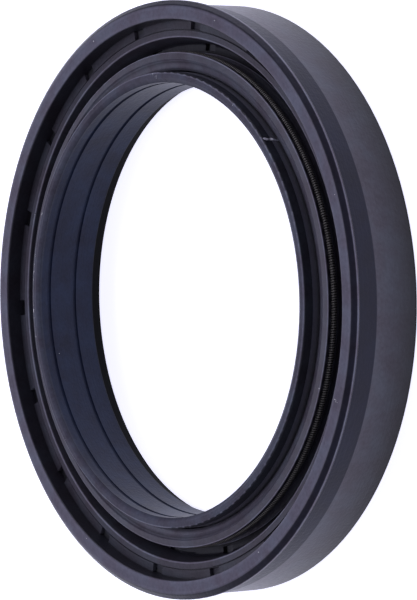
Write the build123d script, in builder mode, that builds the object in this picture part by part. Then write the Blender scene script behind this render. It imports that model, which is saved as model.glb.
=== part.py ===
"""Unitised (cassette) radial shaft seal for an 85 mm shaft and a 115 mm housing.

A rubber-covered steel case carries a spring-loaded sealing lip, which runs on a
pressed steel wear sleeve. The sleeve grips the shaft through a thin rubber lining
and turns with it inside the case.

Frame: the seal's axis is Z, the spring (oil) side is up, both rear faces lie in
the plane z = 0 and the origin is on the axis. Every section is drawn in the XZ
plane as radius and height, and turned about Z.
"""
import os
from math import radians, tan

from build123d import *

os.makedirs("parts", exist_ok=True)

# ----------------------------------------------------------------- driving sizes, mm
# Radii are counted outwards from the bore, and heights up from the rear faces.

# Lining: the rubber skin that grips the shaft
bore_radius = 42.375            # 84.75 mm free bore on an 85 mm shaft
lining_thickness = 1.025
rear_lead_in_height = 2.83
rear_lead_in_width = 1.275
front_lead_in_height = 0.51
front_lead_in_width = 0.865
nose_height = 2.1               # all-rubber front end, beyond the sleeve's steel
nose_round = 0.45
rear_rubber_width = 0.95        # rubber under the sleeve's bend, beyond the lining
groove_round = 0.42             # relief grooves round the bore, half-round
rear_groove_height = 7.25       # middle of the groove
groove_spacing = 6.24

# Wear sleeve: pressed steel, L-shaped in section
sleeve_steel = 1.05
sleeve_bend = 1.075             # to the middle of the sheet
sleeve_overrun = 0.6            # front face of the lining above the case's rim
flange_clearance = 0.8          # flange edge to the inside of the case

# Sealing lip and the groove for its spring
lip_clearance = 0.3             # lip edge to sleeve, with the lip relaxed
lip_height = 4.17               # lip edge above the channel floor
edge_bevel_width = 0.6          # oil side, from the lip edge outwards: bevel,
edge_bevel_rise = 0.28
oil_shelf_width = 0.6           # nearly level shelf,
oil_shelf_rise = 0.1
oil_slope_width = 0.75          # slope
oil_slope_rise = 0.42
oil_face_round = 1.0            # between bevel, shelf and slope
land_step_width = 0.25          # and step up to the land
land_step_rise = 0.31
land_edge_round = 0.1
land_width = 1.38               # lip's front face, outside the step
land_fall = 0.24
nose_corner_round = 0.25
air_face_angle = 25.0           # rear cone, measured from the axis
spring_section = 1.44           # outside diameter of the coiled spring
spring_play = 0.03              # spring to groove
spring_reach = 3.11             # middle of the spring outside the lip edge
spring_setback = 0.71           # middle of the spring behind the lip edge
shoulder_height = 0.35          # rubber that holds the spring from behind
web_thickness = 0.95            # thin wall on which the lip flexes
web_height = 1.1                # its straight part above the channel floor
web_root_round = 0.9

# Front of the case: channel, two ledges and recess
channel_floor_height = 8.53
channel_width = 2.98            # at the floor
channel_depth = 4.12
channel_draft = 1.05            # lean of the channel's outer wall
channel_corner_round = 0.65
inner_ledge_width = 1.36
inner_ledge_round = 0.4
ledge_groove_width = 0.22       # fine groove between the two ledges
ledge_groove_depth = 0.16       # below the outer ledge
outer_ledge_width = 1.8
ledge_step = 0.12               # outer ledge below the inner one
recess_depth = 2.95             # inner ledge below the rim
recess_draft = 0.04
recess_edge_round = 0.42        # between recess wall and rim
cover_wall = 3.04               # foot of the recess wall out to the outside diameter

# Outside of the case, from the rim down
rim_chamfer_height = 0.82
rim_chamfer_width = 1.05
rim_round = 1.2                 # broad, between rim and chamfer
bead_rise = 0.76                # bead above the outside diameter
bead_height = 0.5
bead_round = 0.2
bead_step_height = 0.29
relief_height = 4.39            # tapered band behind the bead
relief_depth = 0.4
rear_round = 0.1

# Notches left by the pins that hold the case steel in the mould
notch_count = 18
notch_phase = 1.7               # degrees from +X
notch_width = 3.1
notch_depth = 0.73              # through the rubber, down to the steel
floor_notch_length = 1.4

# Case steel: pressed ring, S-shaped in section
case_steel = 1.2
case_bend = 1.2                 # to the middle of the sheet
outer_cover = 1.4               # rubber outside the steel
inner_cover = 0.7               # rubber inside the steel cylinder
rear_cover = 0.8                # rubber under the steel's rear end
channel_cover = 0.72            # rubber between channel and steel
root_cover = 1.7                # rubber round the steel's inner edge
floor_cover = 0.7               # rubber behind the inner flange

# Dirt lips on the rear side
dust_lip_root = 1.2             # its root above the rear skin
dust_lip_reach = 0.9            # its tip behind the rear skin
dust_lip_tip_width = 0.3
dust_lip_tip_height = 0.2
dust_lip_foot = 0.3
side_lip_offset = 3.3           # lip that faces the sleeve's flange
side_lip_root = 1.1
side_lip_tip = 0.5
side_lip_lean = 1.5
side_lip_clearance = 0.3
cavity_round = 0.8

# -------------------------------------------------------------------- worked out sizes
sleeve_inner = bore_radius + lining_thickness
sleeve_outer = sleeve_inner + sleeve_steel
lip_radius = sleeve_outer + lip_clearance

floor_z = channel_floor_height
lip_z = floor_z + lip_height
inner_ledge_z = floor_z + channel_depth
outer_ledge_z = inner_ledge_z - ledge_step
rim_z = inner_ledge_z + recess_depth
front_z = rim_z + sleeve_overrun
sleeve_steel_top = front_z - nose_height

bevel_radius = lip_radius + edge_bevel_width
bevel_z = lip_z + edge_bevel_rise
shelf_radius = bevel_radius + oil_shelf_width
shelf_z = bevel_z + oil_shelf_rise
slope_radius = shelf_radius + oil_slope_width
slope_z = shelf_z + oil_slope_rise
land_radius = slope_radius + land_step_width
land_z = slope_z + land_step_rise
nose_radius = land_radius + land_width
nose_z = land_z - land_fall
spring_radius = lip_radius + spring_reach
spring_z = lip_z - spring_setback
spring_seat = spring_section / 2 + spring_play

web_top_z = floor_z + web_height
web_inner = lip_radius + (lip_z - web_top_z) * tan(radians(air_face_angle))
web_outer = web_inner + web_thickness

floor_outer = web_outer + channel_width
channel_outer = floor_outer + channel_draft
ledge_groove_inner = channel_outer + inner_ledge_width
ledge_groove_outer = ledge_groove_inner + ledge_groove_width
recess_radius = ledge_groove_outer + outer_ledge_width
recess_top = recess_radius + recess_draft
outside_radius = recess_radius + cover_wall
rim_middle = (recess_top + outside_radius) / 2

bead_radius = outside_radius + bead_rise
bead_top_z = rim_z - rim_chamfer_height
bead_rear_z = bead_top_z - bead_height
relief_top_z = bead_rear_z - bead_step_height

shelf_top_z = outer_ledge_z - notch_depth
flange_top_z = floor_z - notch_depth
case_cylinder = outside_radius - outer_cover - case_steel / 2
case_drop = channel_outer + channel_cover + case_steel / 2
case_inner_edge = web_inner + root_cover
cavity_radius = case_cylinder - case_steel / 2 - inner_cover
cavity_z = flange_top_z - case_steel - floor_cover

flange_radius = cavity_radius - flange_clearance

# ------------------------------------------------------------------------ case steel
# One pressed ring: cylinder, shelf under the ledge, drop beside the channel and
# flange under the channel floor.
with BuildPart() as steel_case:
    with BuildSketch(Plane.XZ):
        with BuildLine():
            FilletPolyline(
                (case_cylinder, rear_cover),
                (case_cylinder, shelf_top_z - case_steel / 2),
                (case_drop, shelf_top_z - case_steel / 2),
                (case_drop, flange_top_z - case_steel / 2),
                (case_inner_edge, flange_top_z - case_steel / 2),
                radius=case_bend,
            )
        trace(line_width=case_steel)
    revolve(axis=Axis.Z)

# ----------------------------------------------------------------------- rubber body
# Moulded round the case steel in one piece: outside cover, bead, recess, channel,
# sealing lip and dirt lips.
with BuildPart() as rubber_body:
    with BuildSketch(Plane.XZ):
        with BuildLine():
            # Outside, from the rear opening up to the rim
            FilletPolyline(
                (cavity_radius, 0),
                (outside_radius, 0),
                (outside_radius, relief_top_z - relief_height),
                (outside_radius - relief_depth, relief_top_z),
                (bead_radius, bead_rear_z),
                (bead_radius, bead_top_z),
                (bead_radius - rim_chamfer_width, rim_z),
                (rim_middle, rim_z),
                radius=(rear_round, 0, 0, bead_round, bead_round, rim_round),
            )
            # Recess, ledges and channel, as far as the spring's seat
            FilletPolyline(
                (rim_middle, rim_z),
                (recess_top, rim_z),
                (recess_radius, outer_ledge_z),
                (ledge_groove_outer, outer_ledge_z),
                (ledge_groove_outer, outer_ledge_z - ledge_groove_depth),
                (ledge_groove_inner, outer_ledge_z - ledge_groove_depth),
                (ledge_groove_inner, inner_ledge_z),
                (channel_outer, inner_ledge_z),
                (floor_outer, floor_z),
                (web_outer, floor_z),
                (web_outer, web_top_z),
                (spring_radius, spring_z - spring_seat - shoulder_height),
                (spring_radius, spring_z - spring_seat),
                radius=(
                    recess_edge_round, 0, 0, 0, 0, 0, inner_ledge_round,
                    channel_corner_round, web_root_round, 0, 0,
                ),
            )
            ThreePointArc(
                (spring_radius, spring_z - spring_seat),
                (spring_radius - spring_seat, spring_z),
                (spring_radius, spring_z + spring_seat),
            )
            # Lip: nose, land, oil side with its step, air-side cone and web
            FilletPolyline(
                (spring_radius, spring_z + spring_seat),
                (nose_radius, spring_z + spring_seat),
                (nose_radius, nose_z),
                (land_radius, land_z),
                (slope_radius, slope_z),
                (shelf_radius, shelf_z),
                (bevel_radius, bevel_z),
                (lip_radius, lip_z),
                (web_inner, web_top_z),
                (web_inner, cavity_z + dust_lip_root),
                radius=(
                    nose_corner_round, nose_corner_round, land_edge_round, 0,
                    oil_face_round, oil_face_round, 0, 0,
                ),
            )
            # Radial dust lip, side lip and the wall of the rear opening
            FilletPolyline(
                (web_inner, cavity_z + dust_lip_root),
                (lip_radius, cavity_z - dust_lip_reach),
                (lip_radius + dust_lip_tip_width, cavity_z - dust_lip_reach - dust_lip_tip_height),
                (web_inner + dust_lip_foot, cavity_z),
                (web_inner + side_lip_offset, cavity_z),
                (web_inner + side_lip_offset + side_lip_lean, sleeve_steel + side_lip_clearance),
                (
                    web_inner + side_lip_offset + side_lip_lean + side_lip_tip,
                    sleeve_steel + side_lip_clearance,
                ),
                (web_inner + side_lip_offset + side_lip_root, cavity_z),
                (cavity_radius, cavity_z),
                (cavity_radius, 0),
                radius=(0, 0, 0, 0, 0, 0, 0, cavity_round),
            )
        make_face()
    revolve(axis=Axis.Z)

    # Notches in the outer ledge, between the fine groove and the recess wall
    with BuildSketch(Plane.XY.offset(shelf_top_z)):
        with PolarLocations(0, notch_count, start_angle=notch_phase):
            Rectangle(recess_top, notch_width, align=(Align.MIN, Align.CENTER))
        Circle(recess_radius, mode=Mode.INTERSECT)
        Circle(ledge_groove_outer, mode=Mode.SUBTRACT)
    extrude(amount=notch_depth, mode=Mode.SUBTRACT)

    # Notches at the same angles in the channel floor, against its outer wall
    with BuildSketch(Plane.XY.offset(flange_top_z)):
        with PolarLocations(0, notch_count, start_angle=notch_phase):
            Rectangle(recess_top, notch_width, align=(Align.MIN, Align.CENTER))
        Circle(floor_outer, mode=Mode.INTERSECT)
        Circle(floor_outer - floor_notch_length, mode=Mode.SUBTRACT)
    extrude(amount=notch_depth + channel_corner_round, mode=Mode.SUBTRACT)

    add(steel_case.part, mode=Mode.SUBTRACT)

# --------------------------------------------------------------------- garter spring
# Close-wound spring joined into a ring, as the round band that its turns fill.
with BuildPart() as garter_spring:
    with BuildSketch(Plane.XZ):
        with Locations((spring_radius, spring_z)):
            Circle(spring_section / 2)
    revolve(axis=Axis.Z)

# ----------------------------------------------------------------------- wear sleeve
# Cylinder under the lip, turned out at the rear into a flange that closes the case.
with BuildPart() as wear_sleeve:
    with BuildSketch(Plane.XZ):
        with BuildLine():
            FilletPolyline(
                (sleeve_inner + sleeve_steel / 2, sleeve_steel_top),
                (sleeve_inner + sleeve_steel / 2, sleeve_steel / 2),
                (flange_radius, sleeve_steel / 2),
                radius=sleeve_bend,
            )
        trace(line_width=sleeve_steel)
    revolve(axis=Axis.Z)

# --------------------------------------------------------------------- sleeve lining
# Rubber bonded inside the wear sleeve, over its front edge and into its rear bend.
with BuildPart() as sleeve_lining:
    with BuildSketch(Plane.XZ):
        with BuildLine():
            FilletPolyline(
                (bore_radius + rear_lead_in_width, 0),
                (bore_radius, rear_lead_in_height),
                (bore_radius, front_z - front_lead_in_height),
                (bore_radius + front_lead_in_width, front_z),
                (sleeve_outer, front_z),
                (sleeve_outer, sleeve_steel_top),
                (sleeve_inner + rear_rubber_width, sleeve_steel_top),
                (sleeve_inner + rear_rubber_width, 0),
                close=True,
                radius=(0, 0, 0, 0, nose_round, 0, 0, 0),
            )
        make_face()
        with Locations(
            (bore_radius, rear_groove_height),
            (bore_radius, rear_groove_height + groove_spacing),
        ):
            Circle(groove_round, mode=Mode.SUBTRACT)
    revolve(axis=Axis.Z)
    add(wear_sleeve.part, mode=Mode.SUBTRACT)

# ---------------------------------------------------------------------------- export
for name, piece in (
    ("rubber_body", rubber_body),
    ("steel_case", steel_case),
    ("garter_spring", garter_spring),
    ("wear_sleeve", wear_sleeve),
    ("sleeve_lining", sleeve_lining),
):
    piece.part.label = name
    export_step(piece.part, f"parts/{name}.step")
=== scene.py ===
from math import cos, radians, sin, tau

import bpy
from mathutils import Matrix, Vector


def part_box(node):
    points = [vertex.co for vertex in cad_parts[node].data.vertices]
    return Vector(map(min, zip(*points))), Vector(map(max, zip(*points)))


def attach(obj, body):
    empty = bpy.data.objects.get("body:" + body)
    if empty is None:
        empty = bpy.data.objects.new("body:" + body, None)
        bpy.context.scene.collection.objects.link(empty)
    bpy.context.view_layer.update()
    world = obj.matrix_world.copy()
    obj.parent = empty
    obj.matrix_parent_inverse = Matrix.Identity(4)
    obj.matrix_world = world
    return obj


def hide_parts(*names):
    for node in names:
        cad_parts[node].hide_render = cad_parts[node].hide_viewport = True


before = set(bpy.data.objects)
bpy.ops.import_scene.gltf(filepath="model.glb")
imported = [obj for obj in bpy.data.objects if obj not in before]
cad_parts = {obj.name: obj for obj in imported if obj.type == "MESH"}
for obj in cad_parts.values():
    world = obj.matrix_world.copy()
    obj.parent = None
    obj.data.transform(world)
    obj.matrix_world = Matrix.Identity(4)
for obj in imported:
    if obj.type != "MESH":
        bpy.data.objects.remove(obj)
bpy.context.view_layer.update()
bpy.ops.object.select_all(action="DESELECT")

# --- View -----------------------------------------------------------------------------
# The seal lies on its rear face. The camera looks down on it from the right and is rolled
# a quarter turn, so that the ring's height runs across the view.
view_place = (0.56418, 0.00891, 0.43138)
view_turn = (radians(-2.038), radians(52.877), radians(-1.632))
bpy.ops.object.camera_add(location=view_place, rotation=view_turn)
camera = bpy.context.object
camera.name = "seal_camera"
camera.data.sensor_width = 36.0
camera.data.lens = 216.0
camera.data.clip_start = 0.05
bpy.context.scene.camera = camera
bpy.context.scene.view_settings.view_transform = "Standard"

# --- Floor ----------------------------------------------------------------------------
# A sheet of opal acrylic over a light box, as small parts are shown on. It lies a hair
# below the seal, so that the two faces don't fight.
floor_width = 6.0
floor_height = -0.0001


def linear(hex_colour):
    """sRGB hex text as linear red, green, blue and alpha."""
    parts = [int(hex_colour[i:i + 2], 16) / 255 for i in (1, 3, 5)]
    return [p / 12.92 if p <= 0.04045 else ((p + 0.055) / 1.055) ** 2.4 for p in parts] + [1.0]


def new_material(name):
    """A material with its node tree and its shader."""
    material = bpy.data.materials.new(name)
    material.use_nodes = True
    return material, material.node_tree, material.node_tree.nodes["Principled BSDF"]


bpy.ops.mesh.primitive_plane_add(size=floor_width, location=(0, 0, floor_height))
floor = bpy.context.object
floor.name = "pale_floor"

# Cast opal acrylic, lit through from below: an even white with no grain and hardly a sheen.
acrylic, tree, shader = new_material("opal_acrylic")
shader.inputs["Base Color"].default_value = linear("#e6e6e8")
shader.inputs["Roughness"].default_value = 0.9
shader.inputs["Specular IOR Level"].default_value = 0.1
shader.inputs["Emission Color"].default_value = linear("#ececff")
shader.inputs["Emission Strength"].default_value = 0.986
floor.data.materials.append(acrylic)

# --- Light ----------------------------------------------------------------------------
# Five soft boxes with daylight tubes stand round the seal and over it, in a pale room.
# They are large and far off for so small a part, so the shadows stay soft.
world = bpy.data.worlds.new("studio")
world.use_nodes = True
room = world.node_tree.nodes["Background"]
room.inputs["Color"].default_value = linear("#d8dcf4")
room.inputs["Strength"].default_value = 0.28
bpy.context.scene.world = world


def softbox(name, place, size, power):
    """An area lamp that faces the seal."""
    aim = (-Vector(place)).to_track_quat("-Z", "Y").to_euler()
    bpy.ops.object.light_add(type="AREA", location=place, rotation=aim)
    lamp = bpy.context.object
    lamp.name = name
    lamp.data.shape = "RECTANGLE"
    lamp.data.size, lamp.data.size_y = size
    lamp.data.energy = power
    lamp.data.color = linear("#eae8ff")[:3]


softbox("softbox_front", place=(1.4, 0.0, 0.5), size=(1.0, 0.9), power=3.39)
softbox("softbox_top", place=(-0.25, 1.42, 0.39), size=(1.8, 0.8), power=12.43)
softbox("softbox_left", place=(-1.4, -0.37, 0.39), size=(2.0, 0.8), power=5.88)
softbox("softbox_foot", place=(0.73, -1.25, 0.39), size=(1.0, 0.8), power=3.73)
softbox("softbox_over", place=(-0.62, 0.0, 1.28), size=(1.5, 0.7), power=9.6)

# --- Case rubber ----------------------------------------------------------------------
# The black nitrile rubber moulded round the steel case: the rim, the recess, the spring
# groove and the lips. Its outside is ground to size below a band left as it was moulded.
bloom_mm, grain_mm, ring_spacing_mm = 5.0, 0.7, 0.35
pore_depth = 0.00012
smooth_roughness, pored_roughness = 0.28, 0.46
bare_tint, bloomed_tint = (1.06, 0.97, 1.01, 1), (0.94, 1.01, 1.03, 1)
rim_edge_mm, outside_mm = 56.8, 57.1


def add_node(tree, kind, sockets, **properties):
    """Adds a node. sockets gives each input, by name or number, a value or the output that
    feeds it. A Mix node takes plain values in 2 and 3, and colours in 6 and 7."""
    node = tree.nodes.new(kind)
    for name, value in properties.items():
        setattr(node, name, value)
    for socket, value in sockets.items():
        if isinstance(value, bpy.types.NodeSocket):
            tree.links.new(value, node.inputs[socket])
        else:
            node.inputs[socket].default_value = value
    return node


def ring_place(tree):
    """Where a point of a ring lies: its place, radius and height, and its place in the section."""
    place = add_node(tree, "ShaderNodeTexCoord", {}).outputs["Object"]
    flat = add_node(tree, "ShaderNodeVectorMath", {0: place, 1: (1, 1, 0)}, operation="MULTIPLY")
    reach = add_node(tree, "ShaderNodeVectorMath", {0: flat.outputs[0]}, operation="LENGTH")
    height = add_node(tree, "ShaderNodeSeparateXYZ", {0: place})
    section = add_node(tree, "ShaderNodeCombineXYZ", {"X": reach.outputs["Value"], "Y": height.outputs["Z"]})
    return {"place": place, "radius": reach.outputs["Value"], "height": height.outputs["Z"],
            "section": section.outputs[0]}


def mould_marks(tree, at):
    """The marks of a moulded or turned ring: cloudy bloom, fine grain and rings round it."""
    # The clouds of bloom are a few millimetres wide. The grain of a mould is about 0.05 mm
    # and its turning marks about 0.1 mm apart: both are too fine to show, and are drawn coarser.
    bloom = add_node(tree, "ShaderNodeTexNoise", {
        "Vector": at["place"], "Scale": 1000 / bloom_mm, "Detail": 5.0})
    grain = add_node(tree, "ShaderNodeTexNoise", {
        "Vector": at["place"], "Scale": 1000 / grain_mm, "Detail": 3.0})
    rings = add_node(tree, "ShaderNodeTexNoise", {
        "Vector": at["section"], "Scale": 1000 / ring_spacing_mm, "Detail": 2.0})
    return {"bloom": bloom.outputs["Fac"], "grain": grain.outputs["Fac"], "rings": rings.outputs["Fac"]}


def zone_ramp(tree, measure, start, end, stops):
    """A colour for each zone along a measure: the stops are millimetres and sRGB colours."""
    share = add_node(tree, "ShaderNodeMapRange", {
        "Value": measure, "From Min": start / 1000, "From Max": end / 1000})
    zones = add_node(tree, "ShaderNodeValToRGB", {"Fac": share.outputs[0]})
    elements = zones.color_ramp.elements
    for number, (millimetres, colour) in enumerate(stops):
        position = (millimetres - start) / (end - start)
        element = elements[number] if number < 2 else elements.new(position)
        element.position = position
        element.color = linear(colour)
    return zones.outputs["Color"]


def mottle(tree, colour, patches, grain, depth):
    """The colour in blotches: lighter and bluer in the patches, darker and redder between them."""
    # Noise stays mostly within 0.35 and 0.65, so that range is spread over the whole depth.
    blotch = add_node(tree, "ShaderNodeMix", {"Factor": 0.35, 2: patches, 3: grain}, data_type="FLOAT")
    level = add_node(tree, "ShaderNodeMapRange", {
        "Value": blotch.outputs[0], "From Min": 0.35, "From Max": 0.65,
        "To Min": 1 - depth, "To Max": 1 + depth})
    toned = add_node(tree, "ShaderNodeVectorMath", {0: colour, "Scale": level.outputs[0]}, operation="SCALE")
    cover = add_node(tree, "ShaderNodeMapRange", {"Value": patches, "From Min": 0.38, "From Max": 0.62})
    tint = add_node(tree, "ShaderNodeMix", {
        "Factor": cover.outputs[0], 6: bare_tint, 7: bloomed_tint}, data_type="RGBA")
    return add_node(tree, "ShaderNodeVectorMath", {
        0: toned.outputs[0], 1: tint.outputs[2]}, operation="MULTIPLY").outputs[0]


def skin(tree, marks, depth):
    """The relief of a moulded skin: grain over rings."""
    pores = add_node(tree, "ShaderNodeMix", {
        "Factor": 0.7, 2: marks["rings"], 3: marks["grain"]}, data_type="FLOAT")
    return add_node(tree, "ShaderNodeBump", {
        "Height": pores.outputs[0], "Strength": 0.6, "Distance": depth}).outputs[0]


def dress(node, material):
    """Gives one of the fixed solids its material."""
    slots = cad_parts[node].data.materials
    slots.clear()
    slots.append(material)


# Nitrile rubber, press moulded in a turned mould: near black with a dull sheen, cloudy with
# bloom, and paler where its outside is ground. Its edges carry painted highlights; its grooves,
# channel, recess and rear edge carry painted shade, and the ground outside darkens towards the rear as
# painted shade. The stops of each zone are millimetres of height on the outside, and of radius on the front.
rubber, tree, shader = new_material("moulded_nitrile_rubber")
at = ring_place(tree)
marks = mould_marks(tree, at)

# Painted shade: the ground outside darkens towards the rear edge, for the shaded floor it reflects there and
# the contact shadow at the edge.
rear_edge_painted_shade = ((0.3, "#0c0b0e"), (0.5, "#1f1e22"))
ground_outside_painted_shade = ((2.0, "#26252a"), (6.0, "#34333a"), (9.5, "#3f3e45"))
moulded_band = ((9.7, "#0d0e1f"), (13.8, "#0d0e1f"))
bead_outside = ((14.25, "#34333a"), (14.5, "#34333a"))
# Painted highlight on the rounded top edge of the bead.
bead_painted_highlight = ((14.62, "#5e5c66"), (14.78, "#5e5c66"))
# Painted shade on the rim's chamfer, and a painted highlight on the rounding at the rim's outer corner above
# it.
rim_chamfer_painted_shade = ((14.88, "#1b1a24"), (15.35, "#191822"), (15.5, "#191822"))
rim_corner_painted_highlight = ((15.57, "#55535e"),)
outside_colour = zone_ramp(tree, at["height"], 0.0, 16.0, (
    rear_edge_painted_shade + ground_outside_painted_shade + moulded_band + bead_outside + bead_painted_highlight + rim_chamfer_painted_shade + rim_corner_painted_highlight))

# Painted light: a painted highlight in a band across the lip's oil face, painted shade at its tip by the
# gap, and a painted highlight on the step.
lip_oil_face_painted_light = ((45.0, "#3c3b40"), (45.3, "#5a5860"), (46.1, "#5a5860"), (46.4, "#46454b"))
lip_step_painted_highlight = ((46.6, "#5c5b63"), (46.9, "#5c5b63"))
lip_land = ((47.0, "#4a484f"), (48.05, "#4a484f"))
# Painted highlight on the lip's rounded outer corner.
lip_corner_painted_highlight = ((48.12, "#77757f"), (48.24, "#77757f"))
# Painted shade in the spring groove and on the channel floor under the lip and spring.
spring_groove_painted_shade = ((48.3, "#17161a"), (48.4, "#0c0c0f"))
channel_floor_painted_shade = ((48.7, "#222126"), (49.5, "#222126"), (49.9, "#222126"))
channel_wall = ((50.7, "#414047"), (51.14, "#3c3b41"))
# Painted highlight on the rounded inner edge of the inner ledge.
inner_ledge_painted_highlight = ((51.2, "#706e78"), (51.4, "#706e78"))
inner_ledge = ((51.5, "#45434a"), (52.5, "#45434a"))
# Painted shade in the fine groove between the two ledges.
ledge_groove_painted_shade = ((52.55, "#26252a"), (52.74, "#26252a"))
outer_ledge = ((52.8, "#3b3a40"), (54.2, "#403f45"))
# Painted shade on the wall of the recess.
recess_wall_painted_shade = ((54.5, "#222126"), (54.62, "#222126"))
# Painted highlight on the rim's rounded inner edge.
rim_inner_corner_painted_highlight = ((54.8, "#5b5964"), (55.1, "#5b5964"))
# The rim's face, with a painted highlight at its outer edge.
rim_top_and_painted_highlight = ((55.4, "#55535e"), (56.6, "#55535e"), (56.8, "#5b5964"))
front_colour = zone_ramp(tree, at["radius"], 44.0, 58.0, (
    lip_oil_face_painted_light + lip_step_painted_highlight + lip_land + lip_corner_painted_highlight + spring_groove_painted_shade + channel_floor_painted_shade + channel_wall
    + inner_ledge_painted_highlight + inner_ledge + ledge_groove_painted_shade + outer_ledge + recess_wall_painted_shade
    + rim_inner_corner_painted_highlight + rim_top_and_painted_highlight))

outside = add_node(tree, "ShaderNodeMapRange", {
    "Value": at["radius"], "From Min": rim_edge_mm / 1000, "From Max": outside_mm / 1000})
rubber_colour = add_node(tree, "ShaderNodeMix", {
    "Factor": outside.outputs[0], 6: front_colour, 7: outside_colour}, data_type="RGBA")
mottled = mottle(tree, rubber_colour.outputs[2], marks["bloom"], marks["grain"], 0.25)
gloss = add_node(tree, "ShaderNodeMapRange", {
    "Value": marks["grain"], "To Min": smooth_roughness, "To Max": pored_roughness})
tree.links.new(mottled, shader.inputs["Base Color"])
tree.links.new(gloss.outputs[0], shader.inputs["Roughness"])
tree.links.new(skin(tree, marks, pore_depth), shader.inputs["Normal"])
shader.inputs["Specular IOR Level"].default_value = 0.22
dress("rubber_body", rubber)

# --- Steel case -----------------------------------------------------------------------
# The pressed ring that stiffens the rubber. It is phosphated so that the rubber bonds to
# it, and it shows only at the bottoms of the notches.
cluster_mm = 5.0

# Zinc phosphate on steel: a dark, dull grey. Its crystals are a few hundredths of a
# millimetre, too fine to show, so they are drawn as cloudy clusters.
phosphate, tree, shader = new_material("phosphated_steel")
place = add_node(tree, "ShaderNodeTexCoord", {}).outputs["Object"]
clusters = add_node(tree, "ShaderNodeTexNoise", {
    "Vector": place, "Scale": 1000 / cluster_mm, "Detail": 5.0})
crystals = add_node(tree, "ShaderNodeMix", {
    "Factor": clusters.outputs["Fac"], 6: linear("#3a3a3c"), 7: linear("#545456")}, data_type="RGBA")
tree.links.new(crystals.outputs[2], shader.inputs["Base Color"])
shader.inputs["Metallic"].default_value = 1.0
shader.inputs["Roughness"].default_value = 0.55
dress("steel_case", phosphate)

# --- Garter spring --------------------------------------------------------------------
# Keeps the lip pressed on the sleeve. It is a close-wound coil of hard-drawn wire, screwed
# end to end into a ring, and it lies in the groove behind the lip.
spring_low, spring_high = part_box("garter_spring")
coil_radius = (spring_high[2] - spring_low[2]) / 2
spring_radius = spring_high[0] - coil_radius
spring_height = spring_low[2] + coil_radius
wire_radius = 0.00023
wire_sides = 8
spring_turns = 640
steps_per_turn = 12
pitch = tau * spring_radius / spring_turns
weld_distance = 0.00002
oil_mm = 1.5
painted_shade_radius = coil_radius - 0.6 * wire_radius
crest_radius = coil_radius - 0.1 * wire_radius

bpy.ops.mesh.primitive_circle_add(
    vertices=wire_sides, radius=wire_radius, location=(0, coil_radius - wire_radius, 0))
spring = bpy.context.object
spring.name = "coiled_garter_spring"
bpy.ops.object.transform_apply(location=True, rotation=True, scale=True)
turn = spring.modifiers.new("turn", "SCREW")
turn.axis = "X"
turn.screw_offset = pitch
turn.steps = steps_per_turn
turn.render_steps = steps_per_turn
coil = spring.modifiers.new("coil", "ARRAY")
coil.count = spring_turns
coil.use_relative_offset = False
coil.use_constant_offset = True
coil.constant_offset_displace = (pitch, 0, 0)
for modifier in ("turn", "coil"):
    bpy.ops.object.modifier_apply(modifier=modifier)
length = max(v.co.x for v in spring.data.vertices) - min(v.co.x for v in spring.data.vertices)
ring = spring.modifiers.new("ring", "SIMPLE_DEFORM")
ring.deform_method = "BEND"
ring.deform_axis = "Z"
ring.angle = length / spring_radius
bpy.ops.object.modifier_apply(modifier="ring")
bpy.ops.object.mode_set(mode="EDIT")
bpy.ops.mesh.select_all(action="SELECT")
bpy.ops.mesh.remove_doubles(threshold=weld_distance)
bpy.ops.mesh.normals_make_consistent(inside=False)
bpy.ops.object.mode_set(mode="OBJECT")
middle = sum((Vector(corner) for corner in spring.bound_box), Vector()) / 8
spring.location = Vector((0, 0, spring_height)) - middle
bpy.ops.object.transform_apply(location=True, rotation=True, scale=True)
bpy.ops.object.shade_smooth()

# Hard-drawn carbon steel wire, oiled: a dull grey, cloudy with oil, that catches the light on
# the crest of each turn. Painted shade makes it black between the turns and on the coil's inner side.
wire, tree, shader = new_material("hard_drawn_spring_wire")
at = ring_place(tree)
oil = add_node(tree, "ShaderNodeTexNoise", {"Vector": at["place"], "Scale": 1000 / oil_mm, "Detail": 3.0})
wire_colour = add_node(tree, "ShaderNodeMix", {
    "Factor": oil.outputs["Fac"], 6: linear("#75726d"), 7: linear("#a09c94")}, data_type="RGBA")
from_middle = add_node(tree, "ShaderNodeVectorMath", {
    0: at["section"], 1: (spring_radius, spring_height, 0)}, operation="DISTANCE")
# Painted shade: the wire goes black away from the outer crest of each turn.
crest = add_node(tree, "ShaderNodeMapRange", {
    "Value": from_middle.outputs["Value"], "From Min": painted_shade_radius, "From Max": crest_radius})
coil_colour_painted_shade = add_node(tree, "ShaderNodeMix", {
    "Factor": crest.outputs[0], 6: linear("#08080a"), 7: wire_colour.outputs[2]}, data_type="RGBA")
tree.links.new(coil_colour_painted_shade.outputs[2], shader.inputs["Base Color"])
shader.inputs["Metallic"].default_value = 1.0
shader.inputs["Roughness"].default_value = 0.6
spring.data.materials.append(wire)
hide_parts("garter_spring")
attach(spring, "case")

# --- Wear sleeve ----------------------------------------------------------------------
# The pressed steel sleeve that turns with the shaft. The lips run on its ground outside,
# and its flange closes the rear of the case.
# Painted light: the steel is paler towards the lip.
painted_light_by_lip = ((12.0, "#d0d0d6"), (13.0, "#a0a0a6"))
steel_end = ((13.9, "#84848c"),)

# Carbon steel, plunge ground: a dull grey, with painted light that makes it brighter towards
# the lip, against the shade of the gap there. The rings that the wheel leaves round it are too fine to show,
# and are drawn coarser.
ground, tree, shader = new_material("ground_sleeve_steel")
at = ring_place(tree)
marks = mould_marks(tree, at)
sleeve_colour = zone_ramp(tree, at["height"], 10.0, 15.0, painted_light_by_lip + steel_end)
mottled = mottle(tree, sleeve_colour, marks["rings"], marks["grain"], 0.12)
tree.links.new(mottled, shader.inputs["Base Color"])
shader.inputs["Metallic"].default_value = 1.0
shader.inputs["Roughness"].default_value = 0.45
dress("wear_sleeve", ground)

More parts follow.
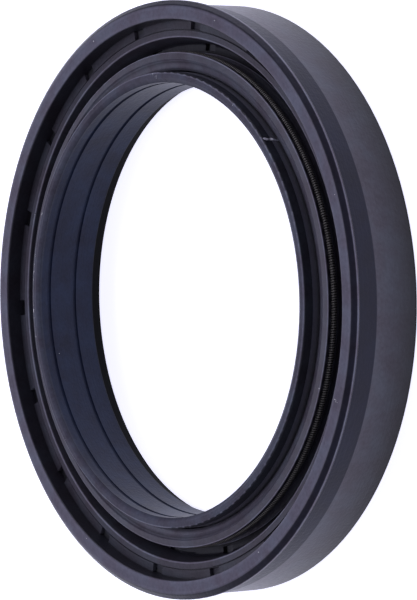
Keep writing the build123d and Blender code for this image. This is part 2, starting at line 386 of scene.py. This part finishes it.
# --- Sleeve lining --------------------------------------------------------------------
# The rubber bonded inside the sleeve and round its nose. It grips the shaft and seals on
# it, and two grooves cross its bore.
lining_pore_depth = 0.00014
polished_roughness, grained_roughness = 0.33, 0.48
nose_face_mm, nose_round_mm = 44.0, 44.2
lead_in_end, bore_start = 2.6, 3.0
# Painted shade: the rear lead-in is near black.
rear_lead_in_painted_shade = ((lead_in_end, "#020203"),)
bore = ((bore_start, "#1b2133"), (15.2, "#1b2133"))
front_lead_in = ((15.7, "#30323c"), (16.1, "#44444e"))
# Painted shade on the nose's side by the lip, and a painted highlight on its rounded edge.
nose_side_painted_shade = ((15.7, "#202126"), (15.95, "#202126"))
nose_painted_highlight = ((16.1, "#6c6c76"),)

# Nitrile rubber, moulded on the steel against a polished core: blue-black with a soft sheen,
# and paler on the nose, with a painted highlight on the nose's rounded edge and painted shade on its side.
# The lead-in at the rear is matt, and painted shade makes it dead black. The stops are millimetres of
# height.
lining, tree, shader = new_material("moulded_lining_rubber")
at = ring_place(tree)
marks = mould_marks(tree, at)
bore_colour = zone_ramp(tree, at["height"], 0.0, 17.0, rear_lead_in_painted_shade + bore + front_lead_in)
nose_colour = zone_ramp(tree, at["height"], 0.0, 17.0, nose_side_painted_shade + nose_painted_highlight)
outside = add_node(tree, "ShaderNodeMapRange", {
    "Value": at["radius"], "From Min": nose_face_mm / 1000, "From Max": nose_round_mm / 1000})
lining_colour = add_node(tree, "ShaderNodeMix", {
    "Factor": outside.outputs[0], 6: bore_colour, 7: nose_colour}, data_type="RGBA")
mottled = mottle(tree, lining_colour.outputs[2], marks["bloom"], marks["grain"], 0.3)
matt_lead_in = add_node(tree, "ShaderNodeMapRange", {
    "Value": at["height"], "From Min": lead_in_end / 1000, "From Max": bore_start / 1000,
    "To Min": 1.0, "To Max": 0.0})
moulded_gloss = add_node(tree, "ShaderNodeMapRange", {
    "Value": marks["grain"], "To Min": polished_roughness, "To Max": grained_roughness})
gloss = add_node(tree, "ShaderNodeMath", {
    0: moulded_gloss.outputs[0], 1: matt_lead_in.outputs[0]}, operation="MAXIMUM")
tree.links.new(mottled, shader.inputs["Base Color"])
tree.links.new(gloss.outputs[0], shader.inputs["Roughness"])
tree.links.new(skin(tree, marks, lining_pore_depth), shader.inputs["Normal"])
shader.inputs["Specular IOR Level"].default_value = 0.14
dress("sleeve_lining", lining)

# --- Dust -----------------------------------------------------------------------------
# Crumbs of rubber and talc, left from trimming. They cling to the rim, the inner ledge and
# the lip of the case, and to the nose and the bore of the lining.
case_rim, lining_nose, nose_corner = 15.6, 16.18, 16.17
crumb_radius = 0.0005
crumb_raggedness = 0.00012
clot_mm = 0.3

# Rubber dust and talc, clotted: matt, and anything from grey to nearly white.
dust, tree, shader = new_material("pale_rubber_dust")
place = add_node(tree, "ShaderNodeTexCoord", {}).outputs["Object"]
clots = add_node(tree, "ShaderNodeTexNoise", {"Vector": place, "Scale": 1000 / clot_mm, "Detail": 2.0})
clotted = add_node(tree, "ShaderNodeMapRange", {
    "Value": clots.outputs["Fac"], "From Min": 0.42, "From Max": 0.58})
dust_colour = add_node(tree, "ShaderNodeMix", {
    "Factor": clotted.outputs[0], 6: linear("#5c5c60"), 7: linear("#e8e8e4")}, data_type="RGBA")
tree.links.new(dust_colour.outputs[2], shader.inputs["Base Color"])
shader.inputs["Roughness"].default_value = 0.85


def crumbs(name, body, places):
    """Crumbs as one piece. Each has its radius, angle and height, in millimetres and degrees,
    and how far its ball is stretched outwards, round the ring and up."""
    made = []
    for seed, (radius, angle, height, size) in enumerate(places, start=1):
        turned = radians(angle)
        bpy.ops.mesh.primitive_ico_sphere_add(subdivisions=2, radius=crumb_radius, location=(0, 0, 0))
        crumb = bpy.context.object
        bpy.ops.object.mode_set(mode="EDIT")
        bpy.ops.transform.vertex_random(offset=crumb_raggedness, seed=seed)
        bpy.ops.object.mode_set(mode="OBJECT")
        crumb.scale = size
        crumb.rotation_euler = (0, 0, turned)
        crumb.location = Vector((radius * cos(turned), radius * sin(turned), height)) / 1000
        bpy.ops.object.transform_apply(location=True, rotation=True, scale=True)
        made.append(crumb)
    for crumb in made:
        crumb.select_set(True)
    bpy.context.view_layer.objects.active = made[0]
    bpy.ops.object.join()
    piece = bpy.context.object
    piece.name = name
    piece.data.materials.append(dust)
    bpy.ops.object.shade_smooth()
    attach(piece, body)
    bpy.ops.object.select_all(action="DESELECT")


crumbs("dust_on_case", "case", (
    (56.2, 113.2, case_rim, (0.30, 0.30, 0.12)), (56.2, 71.5, case_rim, (0.26, 0.26, 0.12)),
    (48.1, -19.9, 13.6, (0.30, 0.24, 0.16)), (55.4, -19.2, case_rim, (0.90, 0.10, 0.05)),
    (55.9, -19.5, case_rim, (0.80, 0.08, 0.05)), (55.5, -58.9, case_rim, (0.24, 0.24, 0.10)),
    (51.3, 159.8, 12.65, (0.20, 0.50, 0.08)), (46.0, 47.0, 13.1, (0.16, 0.20, 0.08)),
    (56.6, 20.0, case_rim, (0.14, 0.14, 0.08)), (55.3, -120.0, case_rim, (0.14, 0.16, 0.08))))
crumbs("dust_on_sleeve", "sleeve", (
    (43.9, 92.1, lining_nose, (0.70, 0.14, 0.06)), (43.6, 90.6, lining_nose, (1.00, 0.12, 0.06)),
    (43.5, 91.3, lining_nose, (0.20, 0.20, 0.06)), (43.9, 57.2, lining_nose, (0.50, 0.16, 0.06)),
    (43.7, 58.2, lining_nose, (0.20, 0.30, 0.06)), (44.1, 156.4, nose_corner, (0.44, 0.80, 0.06)),
    (44.1, 168.0, nose_corner, (0.26, 0.60, 0.05)), (44.1, 170.6, nose_corner, (0.30, 0.70, 0.05)),
    (44.1, 172.6, nose_corner, (0.34, 0.90, 0.06)), (44.1, 174.4, nose_corner, (0.40, 0.60, 0.06)),
    (44.1, -178.9, nose_corner, (0.26, 0.50, 0.05)), (44.1, -177.2, nose_corner, (0.40, 1.10, 0.06)),
    (44.1, -175.3, nose_corner, (0.30, 0.50, 0.06)), (44.1, -170.2, nose_corner, (0.36, 0.50, 0.06)),
    (43.9, 120.0, lining_nose, (0.16, 0.20, 0.06)), (43.8, -140.0, lining_nose, (0.18, 0.20, 0.06)),
    (42.37, -165.0, 12.2, (0.04, 0.16, 0.16))))

# --- Flash ----------------------------------------------------------------------------
# One thread of flash, left on the nose of the lining when it was trimmed. It is the
# lining's own rubber, drawn out unevenly, and it hangs over the gap to the lip.
thread_radius = 0.00016
thread_sides = 6
thread_root = (0.0323, 0.0303, 0.0158)
thread_lean = radians(120)
thread_steps = (
    (0.00045, -0.00005, -0.00030), (0.00040, -0.00015, -0.00025), (0.00035, 0.00010, -0.00060),
    (0.00040, -0.00020, -0.00070), (0.00035, -0.00005, -0.00060))
thread_swells = (2.2, 0.45, 2.0, 0.4, 0.8)
hanging_end = ((13.4, "#66666e"), (14.35, "#5e5e66"))
torn_knot = ((14.5, "#b0b0b4"), (14.8, "#b0b0b4"))
neck = ((15.0, "#505056"), (15.2, "#505056"))
torn_root = ((15.35, "#8c8c92"),)

bpy.ops.mesh.primitive_circle_add(
    vertices=thread_sides, radius=thread_radius, fill_type="NGON", location=thread_root,
    rotation=(0, thread_lean, 0))
thread = bpy.context.object
thread.name = "flash_thread"
bpy.ops.object.transform_apply(location=True, rotation=True, scale=True)
bpy.ops.object.mode_set(mode="EDIT")
for step, swell in zip(thread_steps, thread_swells):
    bpy.ops.mesh.extrude_region_move(TRANSFORM_OT_translate={"value": step})
    bpy.ops.transform.resize(value=(swell, swell, swell))
bpy.ops.mesh.select_all(action="SELECT")
bpy.ops.mesh.normals_make_consistent(inside=False)
bpy.ops.object.mode_set(mode="OBJECT")
rounding = thread.modifiers.new("rounding", "SUBSURF")
rounding.levels = 2
rounding.render_levels = 2
bpy.ops.object.modifier_apply(modifier="rounding")
bpy.ops.object.shade_smooth()

# Nitrile rubber, torn and stretched: it whitens where it was strained, and stays grey
# between. The stops are millimetres of height.
flash, tree, shader = new_material("stretched_flash_rubber")
at = ring_place(tree)
marks = mould_marks(tree, at)
strain = zone_ramp(tree, at["height"], 13.0, 16.0, hanging_end + torn_knot + neck + torn_root)
tree.links.new(mottle(tree, strain, marks["bloom"], marks["grain"], 0.3), shader.inputs["Base Color"])
shader.inputs["Roughness"].default_value = 0.7
thread.data.materials.append(flash)
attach(thread, "sleeve")
